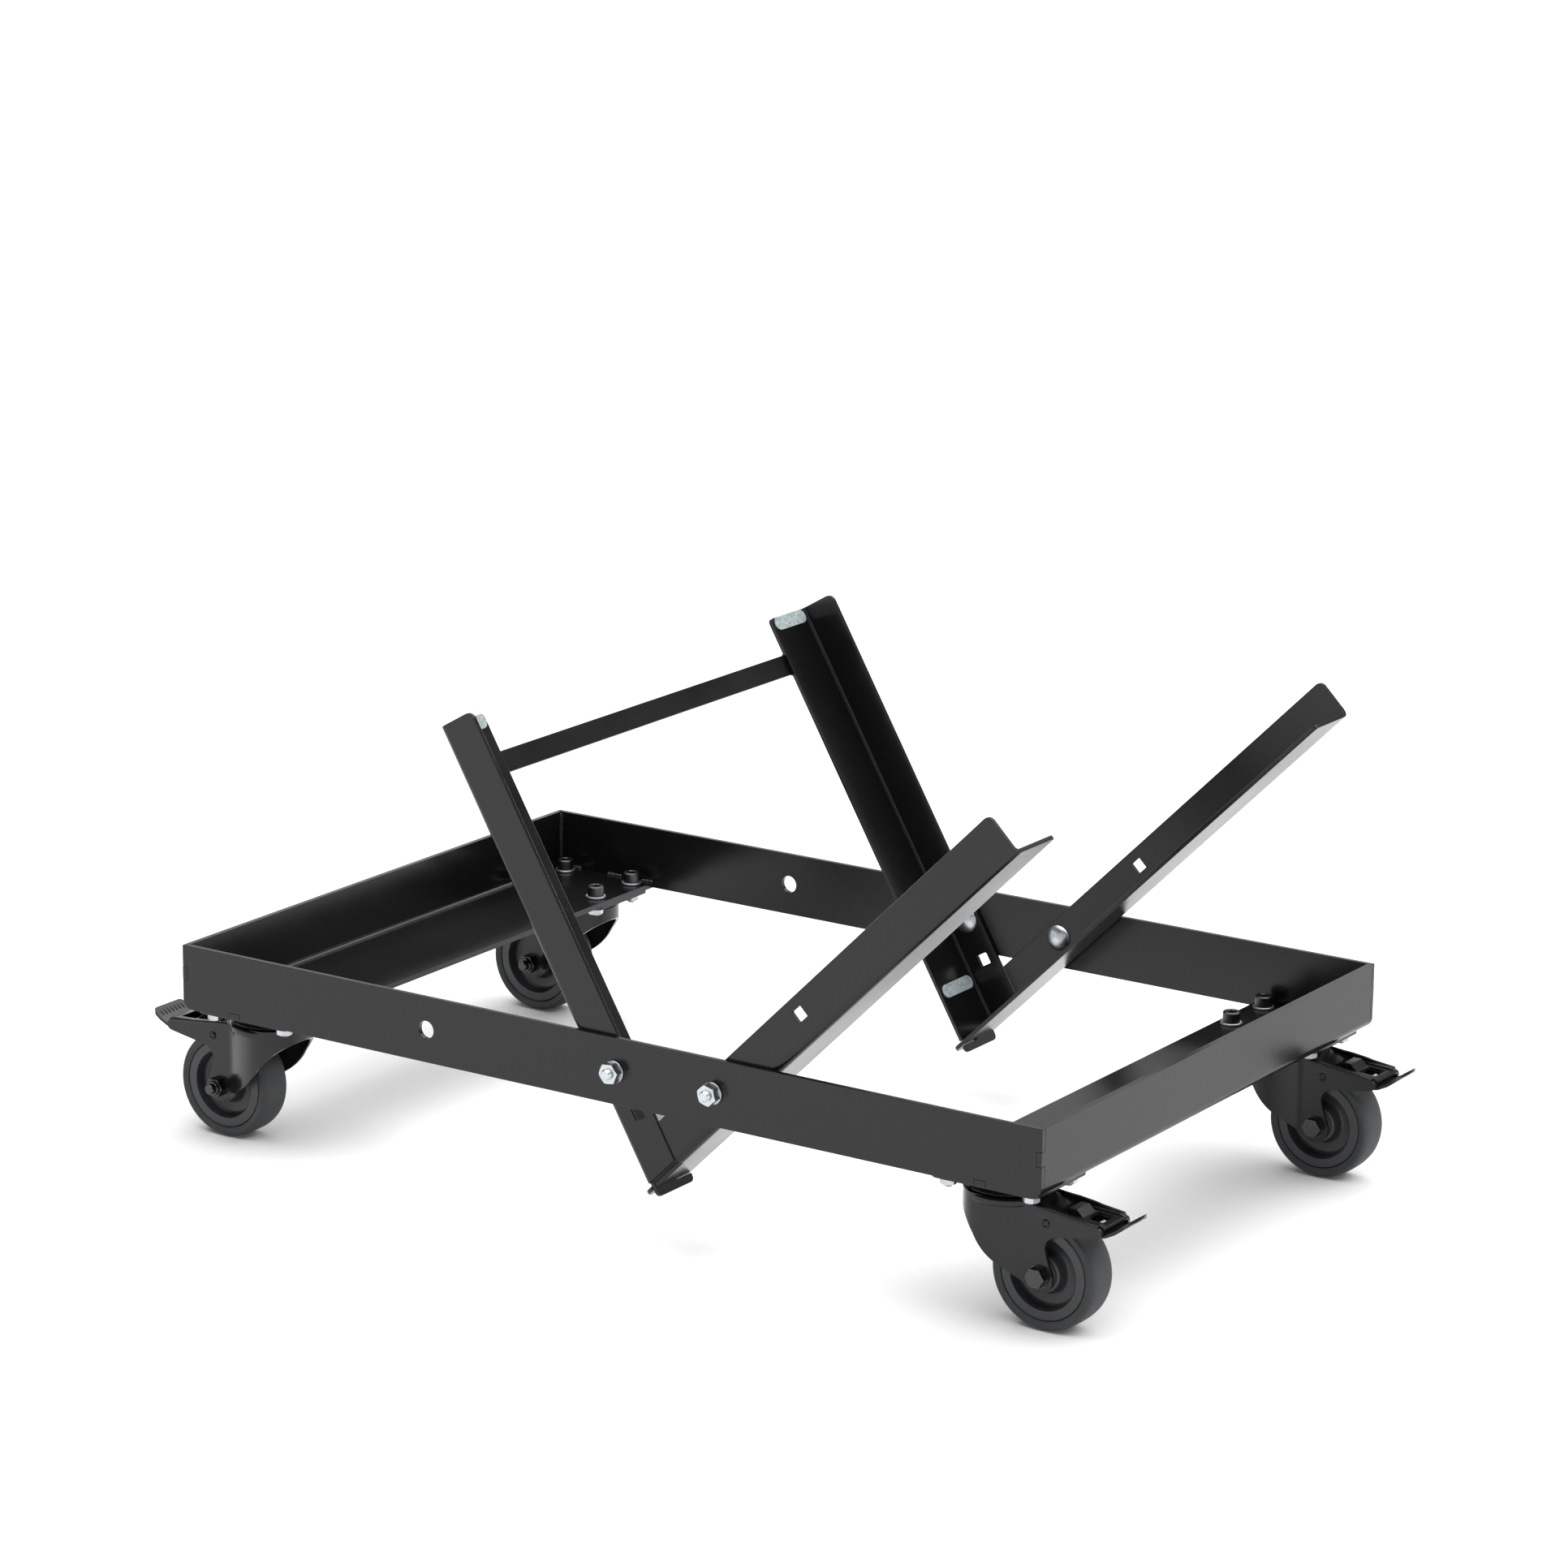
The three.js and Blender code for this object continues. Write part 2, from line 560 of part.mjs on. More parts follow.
// Socket-head screw with its washer above the flange and its nut below the castor plate.
function castorScrew() {
  const seat = FRAME_BOTTOM + PLATE_T + GAP;
  const profile = [
    [0, 114.6], [M8.r, 114.6], [M8.r, seat], [M10.washer, seat],
    [M10.washer, seat + 2], [M10.head, seat + 2], [M10.head, seat + 12], [0, seat + 12],
  ].map(([r, z]) => new THREE.Vector2(r, z));
  const turned = new THREE.LatheGeometry(profile, 10).rotateX(Math.PI / 2);
  const nutTop = PLATE_LOW - GAP;
  const nut = alongZ(outline(disc(M8.hex, 6)), nutTop - M8.nutHigh, M8.nutHigh);
  const socket = alongZ(outline(disc(4.6, 6)), seat + 7, 6);
  return toSolid(turned).add(nut).subtract(socket);
}

// ---------------------------------------------------------------- castors in place

const castorPlateSolid = castorPlate();
const forkSolid = fork();
const pedalSolid = pedal();
const axleSolid = axle();
const screwSolid = castorScrew();

for (const [place, sx, sy] of [
  ['front_left', -1, -1], ['front_right', 1, -1], ['rear_right', 1, 1], ['rear_left', -1, 1],
]) {
  const castor = new THREE.Group();
  castor.position.set(sx * CASTOR_X, sy * CASTOR_Y, 0);
  castor.rotation.z = sx > 0 ? 0 : Math.PI;
  root.add(castor);

  addPiece(castor, `castor_plate_${place}`, castorPlateSolid, enamel);
  addPiece(castor, `fork_${place}`, forkSolid, enamel);
  addPiece(castor, `pedal_${place}`, pedalSolid, enamel);

  const wheel = new THREE.Group();
  wheel.position.set(TRAIL, 0, WHEEL_R);
  castor.add(wheel);
  addPiece(wheel, `tyre_${place}`, tyre(), tyreRubber);
  addPiece(wheel, `rim_${place}`, rim(), nylon);
  addPiece(wheel, `axle_${place}`, axleSolid, oxide);

  let number = 1;
  for (const dx of [-1, 1]) {
    for (const dy of [-1, 1]) {
      const screw = addPiece(castor, `screw_${place}_${number}`, screwSolid, oxide);
      screw.position.set((dx * SCREW_X) / 2, (dy * SCREW_Y) / 2, 0);
      number += 1;
    }
  }
}

export default root;
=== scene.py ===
# A rolling cart with two V cradles on four braked swivel castors.
# Metres, +Z up. X runs along the frame, -Y is the front and the floor is Z = 0.

import math
import random

import bmesh
import bpy
from mathutils import Euler, Matrix, Vector


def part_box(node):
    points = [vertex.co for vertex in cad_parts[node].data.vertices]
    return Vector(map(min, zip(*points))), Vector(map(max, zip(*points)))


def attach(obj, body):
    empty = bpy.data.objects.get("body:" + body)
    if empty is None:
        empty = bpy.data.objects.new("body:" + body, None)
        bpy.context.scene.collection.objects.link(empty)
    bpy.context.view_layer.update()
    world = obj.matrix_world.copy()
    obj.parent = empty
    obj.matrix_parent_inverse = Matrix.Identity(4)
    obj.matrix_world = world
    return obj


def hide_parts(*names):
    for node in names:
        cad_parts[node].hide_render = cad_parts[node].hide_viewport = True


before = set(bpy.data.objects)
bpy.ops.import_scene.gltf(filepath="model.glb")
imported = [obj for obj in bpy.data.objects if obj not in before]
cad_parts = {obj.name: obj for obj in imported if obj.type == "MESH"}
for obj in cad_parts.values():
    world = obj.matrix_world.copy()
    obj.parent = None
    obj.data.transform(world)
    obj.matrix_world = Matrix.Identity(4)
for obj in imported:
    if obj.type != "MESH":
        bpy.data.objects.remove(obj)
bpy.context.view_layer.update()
MM = 0.001

# ---------------------------------------------------------------- camera, floor and light
# A long lens from the front right, a little above the cart, with the cart on a pale floor
# under a big soft ceiling light. The far wall is pale low down and dark above.

azimuth = math.radians(33.52)
elevation = math.radians(14.82)
roll = math.radians(0.643)
back = Vector((
    math.sin(azimuth) * math.cos(elevation),
    -math.cos(azimuth) * math.cos(elevation),
    math.sin(elevation),
))
level = Vector((math.cos(azimuth), math.sin(azimuth), 0))
plumb = back.cross(level)
right = level * math.cos(roll) + plumb * math.sin(roll)
up = plumb * math.cos(roll) - level * math.sin(roll)
camera_data = bpy.data.cameras.new("camera")
camera_data.sensor_width = 36
camera_data.lens = 123.28
camera_data.clip_end = 100
camera = bpy.data.objects.new("camera", camera_data)
camera_place = Matrix.Translation((2.567, -3.868, 1.575))
camera.matrix_world = camera_place @ Matrix((right, up, back)).transposed().to_4x4()
bpy.context.scene.collection.objects.link(camera)
bpy.context.scene.camera = camera
bpy.context.scene.view_settings.view_transform = "Standard"


def surface(name, colour, roughness, metallic=0.0):
    material = bpy.data.materials.new(name)
    material.use_nodes = True
    shader = material.node_tree.nodes["Principled BSDF"]
    shader.inputs["Base Color"].default_value = (*colour, 1)
    shader.inputs["Roughness"].default_value = roughness
    shader.inputs["Metallic"].default_value = metallic
    return material, shader


def new_mesh_object(name, mesh, material):
    piece = bpy.data.objects.new(name, mesh)
    bpy.context.scene.collection.objects.link(piece)
    mesh.materials.append(material)
    return piece


floor_material, floor_shader = surface("floor_paint", (0.93, 0.93, 0.93), 0.9)
floor_shader.inputs["Specular IOR Level"].default_value = 0.1
floor_mesh = bpy.data.meshes.new("floor")
bm = bmesh.new()
bmesh.ops.create_grid(bm, x_segments=1, y_segments=1, size=40)
bm.to_mesh(floor_mesh)
bm.free()
floor = new_mesh_object("floor", floor_mesh, floor_material)

world = bpy.data.worlds.new("studio")
bpy.context.scene.world = world
world.use_nodes = True
nodes = world.node_tree.nodes
links = world.node_tree.links
direction = nodes.new("ShaderNodeTexCoord")
height = nodes.new("ShaderNodeSeparateXYZ")
wall = nodes.new("ShaderNodeValToRGB")
wall.color_ramp.elements[0].position = 0.25
wall.color_ramp.elements[0].color = (1.0, 1.0, 1.0, 1)
wall.color_ramp.elements[1].position = 0.35
wall.color_ramp.elements[1].color = (0.04, 0.04, 0.04, 1)
links.new(direction.outputs["Generated"], height.inputs["Vector"])
links.new(height.outputs["Z"], wall.inputs["Fac"])
links.new(wall.outputs["Color"], nodes["Background"].inputs["Color"])
nodes["Background"].inputs["Strength"].default_value = 1.3

light_data = bpy.data.lights.new("ceiling_light", "SUN")
light_data.energy = 4.9
light_data.angle = math.radians(100)
light = bpy.data.objects.new("ceiling_light", light_data)
light.rotation_euler = Euler((math.radians(-8), math.radians(6), 0))
bpy.context.scene.collection.objects.link(light)

# ---------------------------------------------------------------- frame sheets
# Side plates, end angles, arms and crossbar are laser-cut and bent mild steel, welded and
# powder coated semi-gloss black. The coat rounds every cut edge and shows a fine orange peel.


def noise(tree, scale, detail=2, roughness=0.5):
    """A noise pattern that stays fixed to the piece."""
    place = tree.nodes.new("ShaderNodeTexCoord")
    pattern = tree.nodes.new("ShaderNodeTexNoise")
    pattern.inputs["Scale"].default_value = scale
    pattern.inputs["Detail"].default_value = detail
    pattern.inputs["Roughness"].default_value = roughness
    tree.links.new(place.outputs["Object"], pattern.inputs["Vector"])
    return pattern.outputs["Fac"]


def stretch(tree, pattern, low, high, start=0, finish=1):
    """Turns a pattern's values from start to finish into values from low to high."""
    spread = tree.nodes.new("ShaderNodeMapRange")
    spread.inputs["From Min"].default_value = start
    spread.inputs["From Max"].default_value = finish
    spread.inputs["To Min"].default_value = low
    spread.inputs["To Max"].default_value = high
    tree.links.new(pattern, spread.inputs["Value"])
    return spread.outputs["Result"]


def emboss(tree, shader, pattern, strength, distance):
    """Raises a pattern on the surface."""
    bump = tree.nodes.new("ShaderNodeBump")
    bump.inputs["Strength"].default_value = strength
    bump.inputs["Distance"].default_value = distance
    tree.links.new(pattern, bump.inputs["Height"])
    tree.links.new(bump.outputs["Normal"], shader.inputs["Normal"])


def tinted(tree, shader, pattern, plain, tint):
    """Colours the surface from plain to tint by a pattern, and returns the mixing node."""
    mix = tree.nodes.new("ShaderNodeMix")
    mix.data_type = "RGBA"
    mix.inputs["A"].default_value = (*plain, 1)
    mix.inputs["B"].default_value = (*tint, 1)
    tree.links.new(pattern, mix.inputs["Factor"])
    tree.links.new(mix.outputs["Result"], shader.inputs["Base Color"])
    return mix


def powder_coat(name, colour=0.005, roughness=0.21):
    material, shader = surface(name, (colour,) * 3, roughness)
    shader.inputs["Specular IOR Level"].default_value = 0.37
    tree = material.node_tree
    emboss(tree, shader, noise(tree, 420), 0.10, 0.0004)
    # Handling leaves the sheen slightly uneven, and a few specks of dust settle on it.
    sheen = stretch(tree, noise(tree, 9, 4), roughness - 0.035, roughness + 0.045, 0.3, 0.7)
    tree.links.new(sheen, shader.inputs["Roughness"])
    place = tree.nodes.new("ShaderNodeTexCoord")
    dust = tree.nodes.new("ShaderNodeTexVoronoi")
    dust.inputs["Scale"].default_value = 70
    tree.links.new(place.outputs["Object"], dust.inputs["Vector"])
    speck = stretch(tree, dust.outputs["Distance"], 0, 0.5, 0.045, 0.02)
    tinted(tree, shader, speck, (colour, colour, colour * 1.03), (0.07, 0.07, 0.066))
    return material


coat = powder_coat("powder_coat")


def finish_mesh(bm, name, material):
    mesh = bpy.data.meshes.new(name)
    bm.to_mesh(mesh)
    bm.free()
    piece = new_mesh_object(name, mesh, material)
    mesh.shade_smooth()
    return piece


def weighted(piece):
    normals = piece.modifiers.new("flat_faces", "WEIGHTED_NORMAL")
    normals.keep_sharp = True
    return piece


def merged_copy(node):
    """The node's own shape, with its flat faces joined up."""
    bm = bmesh.new()
    bm.from_mesh(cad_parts[node].data)
    bmesh.ops.remove_doubles(bm, verts=bm.verts, dist=2e-6)
    bmesh.ops.dissolve_limit(
        bm, angle_limit=math.radians(0.5), verts=bm.verts, edges=bm.edges
    )
    return bm


def soften(bm, width, angle=50, segments=2):
    """Rounds every edge that bends by more than the angle, in degrees."""
    sharp = [
        e for e in bm.edges
        if len(e.link_faces) == 2 and e.calc_face_angle(0) > math.radians(angle)
    ]
    bmesh.ops.bevel(
        bm, geom=sharp, offset=width, offset_type="OFFSET", segments=segments,
        profile=0.5, affect="EDGES", clamp_overlap=True, material=-1,
    )


def rounded_sheet(node, width, segments=2, material=coat):
    bm = merged_copy(node)
    soften(bm, width, segments=segments)
    piece = weighted(finish_mesh(bm, node + "_coated", material))
    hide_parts(node)
    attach(piece, "frame")


for end in ("front", "rear"):
    rounded_sheet(f"side_plate_{end}", 0.8 * MM)
    rounded_sheet(f"back_arm_{end}", 0.7 * MM)
    rounded_sheet(f"seat_arm_{end}", 0.7 * MM)
for end in ("left", "right"):
    rounded_sheet(f"end_angle_{end}", 0.8 * MM)
rounded_sheet("crossbar", 0.6 * MM)

# ---------------------------------------------------------------- weld beads
# MIG beads join the sheets inside the corners, along the flanges and at the crossbar.
# Each is a row of overlapping puddles, coated with the rest of the frame.
plate_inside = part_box("side_plate_rear")[0].y
end_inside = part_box("end_angle_right")[1].x - 5 * MM
flange_top = 133 * MM
bite = 0.4 * MM
corner_low, corner_high = 140 * MM, 184 * MM
flange_runs = ((339, 349), (376, 390), (425, 440))
bar_run = (226, 243)
beads = random.Random(11)


def weld_bead(name, start, finish, radius, lean):
    """A bead from start to finish; lean is the direction its crown faces."""
    bm = bmesh.new()
    run = finish - start
    count = max(3, round(run.length / (radius * 0.55)))
    along = run.normalized()
    crown = lean.normalized()
    across = crown.cross(along)
    turn = Matrix((along, across, crown)).transposed().to_4x4()
    for i in range(count):
        spot = start + run * (i / (count - 1))
        wobble = across * beads.uniform(-0.12, 0.12) * radius
        size = radius * beads.uniform(0.92, 1.1)
        scale = Matrix.Diagonal((size * 0.72, size, size * 0.62, 1))
        bmesh.ops.create_uvsphere(
            bm, u_segments=14, v_segments=8, radius=1,
            matrix=Matrix.Translation(spot + wobble) @ turn @ scale,
        )
    bead = finish_mesh(bm, name, coat)
    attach(bead, "frame")


for end, sx in (("left", -1), ("right", 1)):
    for side, sy in (("front", -1), ("rear", 1)):
        x = sx * (end_inside + bite)
        y = sy * (plate_inside + bite)
        weld_bead(
            f"corner_weld_{side}_{end}",
            Vector((x, y, corner_low)), Vector((x, y, corner_high)),
            3.6 * MM, Vector((-sx, -sy, 0)),
        )
        for number, (x0, x1) in enumerate(flange_runs, 1):
            weld_bead(
                f"flange_weld_{side}_{end}_{number}",
                Vector((sx * x0 * MM, y, flange_top)),
                Vector((sx * x1 * MM, y, flange_top)),
                3.4 * MM, Vector((0, -sy, 1)),
            )

bar_low, bar_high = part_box("crossbar")
bar_centre = (bar_low + bar_high) / 2
back_slope = 59.4
lean_back = math.radians(back_slope)
up_arm = Vector((-math.cos(lean_back), 0, math.sin(lean_back)))
off_arm = Vector((-math.sin(lean_back), 0, -math.cos(lean_back)))
for side, sy in (("front", -1), ("rear", 1)):
    for edge, way in (("upper", 1), ("lower", -1)):
        spot = bar_centre + up_arm * way * 10 * MM - off_arm * 1.6 * MM
        start, finish = [Vector((spot.x, sy * y * MM, spot.z)) for y in bar_run]
        weld_bead(f"bar_weld_{side}_{edge}", start, finish, 2.0 * MM, up_arm * way + off_arm)

# ---------------------------------------------------------------- pads
# Thin round-ended strips stuck across the load faces of the back arms. They are pressed
# grey fibre, mottled pale and dark, with a rust-brown fleck here and there.


def shaded(tree, pattern, start, dark, finish, pale):
    """Colours a pattern from dark at start to pale at finish."""
    shades = tree.nodes.new("ShaderNodeValToRGB")
    first, last = shades.color_ramp.elements
    first.position = start
    first.color = (*dark, 1)
    last.position = finish
    last.color = (*pale, 1)
    tree.links.new(pattern, shades.inputs["Fac"])
    return shades.outputs["Color"]


def pressed_fibre():
    grey = (0.30, 0.35, 0.36)
    material, shader = surface("pressed_fibre", grey, 0.85)
    tree = material.node_tree
    mottle = noise(tree, 260, 6, 0.7)
    shades = shaded(tree, mottle, 0.30, (0.17, 0.20, 0.21), 0.68, (0.44, 0.50, 0.52))
    fleck = stretch(tree, noise(tree, 60, 3), 0, 1, 0.66, 0.74)
    stain = tinted(tree, shader, fleck, grey, (0.20, 0.15, 0.11))
    tree.links.new(shades, stain.inputs["A"])
    emboss(tree, shader, mottle, 0.5, 0.0003)
    return material


fibre = pressed_fibre()
for side in ("front", "rear"):
    for spot in ("top", "low"):
        rounded_sheet(f"pad_{spot}_{side}", 0.45 * MM, segments=3, material=fibre)

# ---------------------------------------------------------------- arm bolts
# M10 carriage bolts: a dome head inside, a washer and a chamfered hex nut outside.
# All bright zinc plate.


def plated(name, colour, roughness, speckle):
    material, shader = surface(name, colour, roughness, 1.0)
    tree = material.node_tree
    grain = noise(tree, 500, 4)
    tinted(tree, shader, grain, [c * (1 - speckle) for c in colour], colour)
    satin = stretch(tree, grain, roughness - 0.08, roughness + 0.12)
    tree.links.new(satin, shader.inputs["Roughness"])
    emboss(tree, shader, grain, 0.15, 0.0002)
    return material


zinc = plated("zinc_plate", (0.60, 0.64, 0.66), 0.30, 0.25)
oxide = plated("black_oxide", (0.10, 0.10, 0.105), 0.36, 0.35)


def spun(bm, profile, steps=48):
    """Turns an outline of (radius, height) pairs in millimetres about Z."""
    verts = [bm.verts.new((r * MM, 0, h * MM)) for r, h in profile]
    edges = [bm.edges.new(pair) for pair in zip(verts, verts[1:])]
    bmesh.ops.spin(
        bm, geom=verts + edges, cent=(0, 0, 0), axis=(0, 0, 1), dvec=(0, 0, 0),
        angle=math.tau, steps=steps, use_merge=True, use_normal_flip=False,
        use_duplicate=False,
    )


def closed_up(bm):
    """Joins the seams and turns every face outwards."""
    bmesh.ops.remove_doubles(bm, verts=bm.verts, dist=1e-6)
    bmesh.ops.recalc_face_normals(bm, faces=bm.faces)
    if bm.calc_volume(signed=True) < 0:
        bmesh.ops.reverse_faces(bm, faces=bm.faces)
    return bm


def hex_radius(flats, turn):
    """From the middle of a hexagon to its edge, at a turn from one corner."""
    return flats / 2 / math.cos(turn % (math.tau / 6) - math.tau / 12)


def hex_body(bm, flats, low, high, chamfer_low, chamfer_high):
    """A hex prism round Z with its corners turned off at either end."""
    steps = 60
    face = flats / 2 * 0.97
    slope = math.tan(math.radians(30))

    def ring(radius_at, height_at):
        made = bmesh.ops.create_circle(bm, cap_ends=False, segments=steps, radius=1)["verts"]
        for i, vert in enumerate(made):
            turn = math.tau * i / steps
            corner = hex_radius(flats, turn)
            radius = radius_at(corner)
            vert.co = Vector((
                math.cos(turn) * radius, math.sin(turn) * radius, height_at(corner),
            )) * MM
        return [e for e in bm.edges if e.verts[0] in made and e.verts[1] in made]

    rings = [
        ring(lambda c: c, lambda c: low + (c - face) * slope * chamfer_low),
        ring(lambda c: c, lambda c: high - (c - face) * slope * chamfer_high),
    ]
    if chamfer_low:
        rings.insert(0, ring(lambda c: face, lambda c: low))
    if chamfer_high:
        rings.append(ring(lambda c: face, lambda c: high))
    for a, b in zip(rings, rings[1:]):
        bmesh.ops.bridge_loops(bm, edges=a + b)
    for end_ring in (rings[0], rings[-1]):
        bmesh.ops.contextual_create(bm, geom=end_ring)


def thread(outer, pitch, start, finish):
    """Ridges of a screw thread, as (radius, height) pairs, with a chamfered start."""
    depth = 0.6
    chamfer = 1.1
    profile = [(0, start), (outer - chamfer, start)]
    height = start + depth
    while height < finish - pitch:
        profile += [(outer - depth, height), (outer, height + pitch * 0.5)]
        height += pitch
    return profile + [(outer - depth, height), (outer, finish)]


def placed(bm, matrix, name, material, body, sharp=40):
    """Moves a finished shape to its place and gives it its material and body."""
    closed_up(bm)
    for edge in bm.edges:
        if len(edge.link_faces) == 2:
            edge.smooth = edge.calc_face_angle(0) < math.radians(sharp)
    bmesh.ops.transform(bm, matrix=matrix, verts=bm.verts)
    piece = weighted(finish_mesh(bm, name, material))
    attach(piece, body)
    return piece


plate_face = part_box("side_plate_front")[0].y
for side, sy in (("front", -1), ("rear", 1)):
    for kind, tilt, twist in (("back", back_slope, 8), ("seat", 45.0, -16)):
        low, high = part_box(f"{kind}_arm_bolt_{side}")
        centre = (low + high) / 2
        # Z of the bolt's own frame points out of the cart, from the plate's outer face.
        outward = Matrix.Rotation(math.radians(90 if sy < 0 else -90), 4, "X")
        place = Matrix.Translation((centre.x, sy * -plate_face, centre.z)) @ outward
        bolt = bmesh.new()
        spun(bolt, [
            (0, -14.8), (3.2, -14.6), (6.4, -13.9), (9.4, -12.6), (11.3, -11.1),
            (12.15, -10.1), (12.15, -9.75), (11.9, -9.6), (5, -9.6), (5, -4), (0, -4),
        ], 56)
        square_neck = Matrix.Translation((0, 0, -7.4 * MM)) @ Matrix.Diagonal(
            (9.9 * MM, 9.9 * MM, 4.6 * MM, 1))
        bmesh.ops.create_cube(
            bolt, size=1, matrix=Matrix.Rotation(math.radians(tilt), 4, "Z") @ square_neck,
        )
        ridges = thread(outer=4.9, pitch=1.5, start=-14.4, finish=-4.0)
        spun(bolt, [(r, -h) for r, h in ridges] + [(4.9, -2), (0, -2)], 40)
        head = placed(
            bolt, place, f"{kind}_arm_bolt_{side}_plated", zinc, "frame"
        )
        washer = bmesh.new()
        spun(washer, [
            (5.3, 0.4), (9.6, 0.4), (9.95, 0.7), (9.95, 1.9), (9.6, 2.25), (5.3, 2.25),
            (5.3, 0.4),
        ], 56)
        placed(washer, place, f"{kind}_arm_washer_{side}", zinc, "frame")
        nut = bmesh.new()
        hex_body(nut, 16.9, 2.3, 10.6, chamfer_low=False, chamfer_high=True)
        placed(
            nut, place @ Matrix.Rotation(math.radians(twist), 4, "Z"),
            f"{kind}_arm_nut_{side}", zinc, "frame",
        )
        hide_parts(f"{kind}_arm_bolt_{side}")

# ---------------------------------------------------------------- castor screws
# Black oxide socket-head screws on pale zinc washers above the flange. Their small zinc
# nuts sit under the castor plates.
washer_zinc = plated("dull_zinc", (0.62, 0.65, 0.68), 0.42, 0.3)


def socket_head(bm, low, high, radius, flats, depth):
    """A round head with a hexagon socket sunk into its top."""
    spun(bm, [
        (5, low), (radius - 0.3, low), (radius, low + 0.3), (radius, high - 1.1),
        (radius - 0.9, high - 0.1), (radius - 1.3, high), (flats / 2 + 0.9, high),
        (flats / 2 + 0.55, high - 0.35),
    ])
    recess = [v for v in bm.verts if abs(v.co.z - (high - 0.35) * MM) < 1e-6]
    rim = [e for e in bm.edges if e.verts[0] in recess and e.verts[1] in recess]
    walls = bmesh.ops.extrude_edge_only(bm, edges=rim)["geom"]
    floor_ring = [g for g in walls if isinstance(g, bmesh.types.BMVert)]
    for vert in floor_ring:
        turn = math.atan2(vert.co.y, vert.co.x)
        corner = hex_radius(flats, turn)
        vert.co.x = math.cos(turn) * corner * MM
        vert.co.y = math.sin(turn) * corner * MM
        vert.co.z = (high - 0.7) * MM
    edges = [g for g in walls if isinstance(g, bmesh.types.BMEdge)
             and g.verts[0] in floor_ring and g.verts[1] in floor_ring]
    pit = bmesh.ops.extrude_edge_only(bm, edges=edges)["geom"]
    bottom = [g for g in pit if isinstance(g, bmesh.types.BMVert)]
    bmesh.ops.translate(bm, vec=(0, 0, -depth * MM), verts=bottom)
    bmesh.ops.contextual_create(bm, geom=bottom)


# Each wheel trails towards its own end of the cart: -1 to the left, 1 to the right.
castors = {"front_left": -1, "front_right": 1, "rear_right": 1, "rear_left": -1}
screw_tip = 114.8
head_low, head_high = 135.4, 145.2
turns = random.Random(5)
for place_name in castors:
    for number in range(1, 5):
        node = f"screw_{place_name}_{number}"
        low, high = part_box(node)
        place = Matrix.Translation(((low.x + high.x) / 2, (low.y + high.y) / 2, 0))
        twist = Matrix.Rotation(turns.uniform(0, math.tau), 4, "Z")
        screw = bmesh.new()
        socket_head(screw, head_low, head_high, radius=8, flats=8, depth=4.6)
        spun(screw, [
            (0, screw_tip), (3.2, screw_tip), (3.9, screw_tip + 0.8), (3.9, head_low),
            (5, head_low),
        ])
        head = placed(
            screw, place @ twist, node + "_black", oxide, "frame"
        )
        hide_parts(node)
        washer = bmesh.new()
        spun(washer, [
            (5.3, 133.35), (9.5, 133.35), (9.8, 133.6), (9.8, 135.0), (9.5, 135.3),
            (5.3, 135.3), (5.3, 133.35),
        ])
        placed(washer, place, node + "_washer", washer_zinc, "frame")
        nut = bmesh.new()
        hex_body(nut, 12.9, 116.7, 123.3, chamfer_low=True, chamfer_high=True)
        placed(
            nut, place @ Matrix.Rotation(turns.uniform(0, 1), 4, "Z"),
            node + "_nut", washer_zinc, "frame",
        )

# ---------------------------------------------------------------- castor plates
# Pressed steel top plates with a round race boss, a dust ring over the balls and a riveted
# king pin. The plates and dust rings are gloss black enamel, the king pin black oxide.
enamel = powder_coat("castor_enamel", 0.006, 0.19)
swivel = {}
for place_name, trail in castors.items():
    low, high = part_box(f"castor_plate_{place_name}")
    spot = (low + high) / 2
    turn = Matrix.Rotation(0 if trail > 0 else math.pi, 4, "Z")
    swivel[place_name] = Matrix.Translation((spot.x, spot.y, 0)) @ turn
    rounded_sheet(f"castor_plate_{place_name}", 0.4 * MM, material=enamel)
    boss = bmesh.new()
    spun(boss, [
        (29.5, 123.4), (30.5, 121.5), (33.5, 119.6), (35.2, 118.4), (35.6, 117.0),
        (34.9, 116.2), (33.0, 116.4), (29.0, 120.5), (29.5, 123.4),
    ], 72)
    placed(
        boss, swivel[place_name], f"dust_ring_{place_name}", enamel,
        "frame",
    )
    pin = bmesh.new()
    spun(pin, [
        (0, 103.4), (5.2, 103.5), (8.4, 104.3), (9.8, 105.6), (10, 106.8), (0, 106.8),
    ], 40)
    placed(
        pin, swivel[place_name], f"king_pin_{place_name}", oxide, "frame",
    )

# ---------------------------------------------------------------- castor forks
# One blank of 3 mm steel, pressed into a round head with a rolled rim and two cheeks.
# The cheeks flare forward from a crease to the head, and reach back as two arms for the
# brake. Gloss black enamel.


def flat_prism(outline, axis, start, depth):
    """A closed prism of an outline in millimetres: axis Z takes (x, y), axis Y (x, z)."""
    bm = bmesh.new()
    verts = [bm.verts.new((a * MM, b * MM, start * MM)) for a, b in outline]
    base = bm.faces.new(verts)
    grown = bmesh.ops.extrude_face_region(bm, geom=[base])["geom"]
    top = [g for g in grown if isinstance(g, bmesh.types.BMVert)]
    bmesh.ops.translate(bm, vec=(0, 0, depth * MM), verts=top)
    if axis == "Y":
        bmesh.ops.transform(bm, matrix=Matrix(
            ((1, 0, 0, 0), (0, 0, 1, 0), (0, 1, 0, 0), (0, 0, 0, 1))), verts=bm.verts)
    bmesh.ops.recalc_face_normals(bm, faces=bm.faces)
    return bm


def arc(cx, cy, radius, start, finish, steps):
    """Points on an arc between two angles in degrees."""
    points = []
    for i in range(steps + 1):
        turn = math.radians(start + (finish - start) * i / steps)
        points.append((cx + radius * math.cos(turn), cy + radius * math.sin(turn)))
    return points


